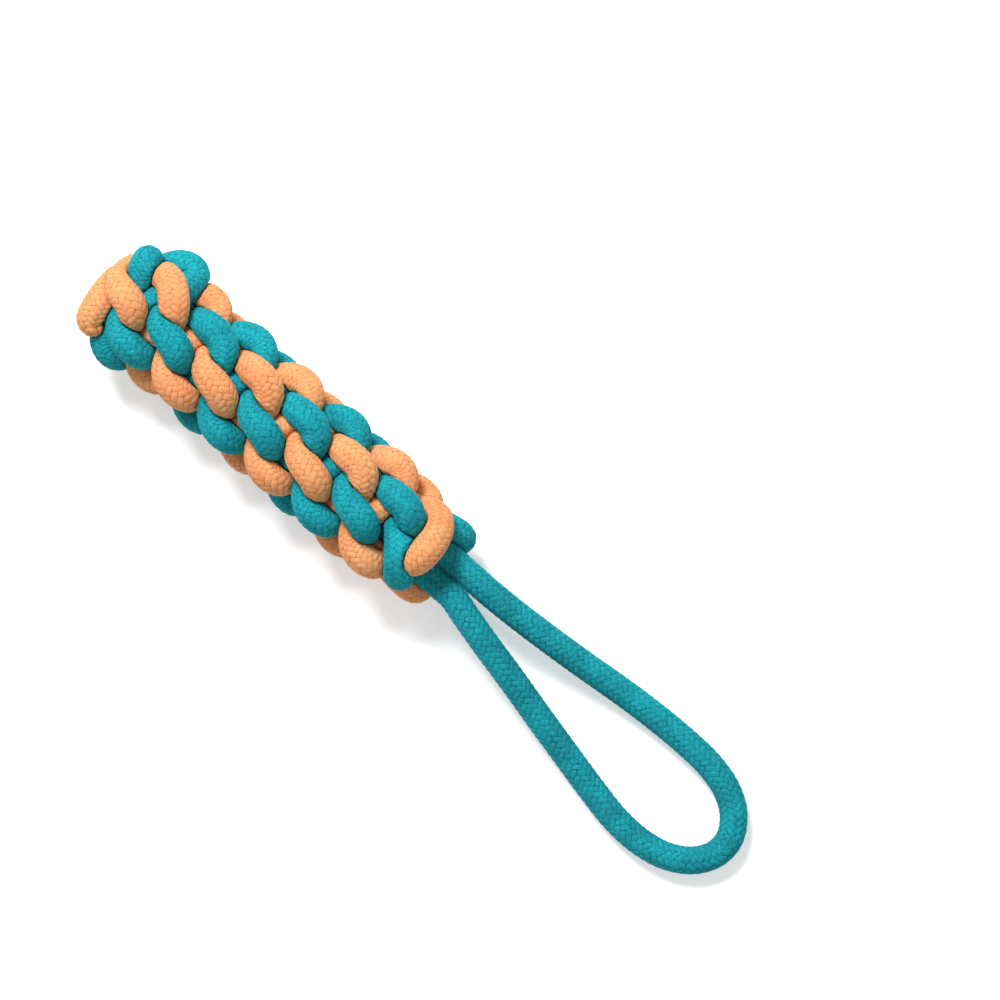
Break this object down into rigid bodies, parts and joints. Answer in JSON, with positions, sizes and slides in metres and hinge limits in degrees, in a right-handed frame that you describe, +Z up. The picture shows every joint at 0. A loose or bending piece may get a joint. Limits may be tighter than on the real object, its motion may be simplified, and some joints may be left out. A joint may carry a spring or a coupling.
{
  "type": "rope dog toy",
  "caption": "Chew and tug toy: a stout stick of two teal and two orange cotton rope strands crowned round a rope core, which comes out of one end as a hand loop.",
  "frame": {"origin": "on the floor, under the middle of the woven body, which lies on its bights", "axes": "+X along the body towards the hand loop, +Z up, +Y to the body's left as seen from above with the loop ahead"},
  "size_m": [0.3069, 0.0579, 0.0438],
  "materials": {
    "teal_rope": "matt braided cotton, slightly fuzzy",
    "orange_rope": "matt braided cotton, slightly fuzzy"
  },
  "bodies": {
    "root": {"strand_orange_1": "orange_rope", "strand_orange_2": "orange_rope", "strand_teal_1": "teal_rope", "strand_teal_2": "teal_rope", "core_leg_left": "teal_rope", "core_leg_right": "teal_rope", "handle_loop": "teal_rope"}
  },
  "joints": []
}
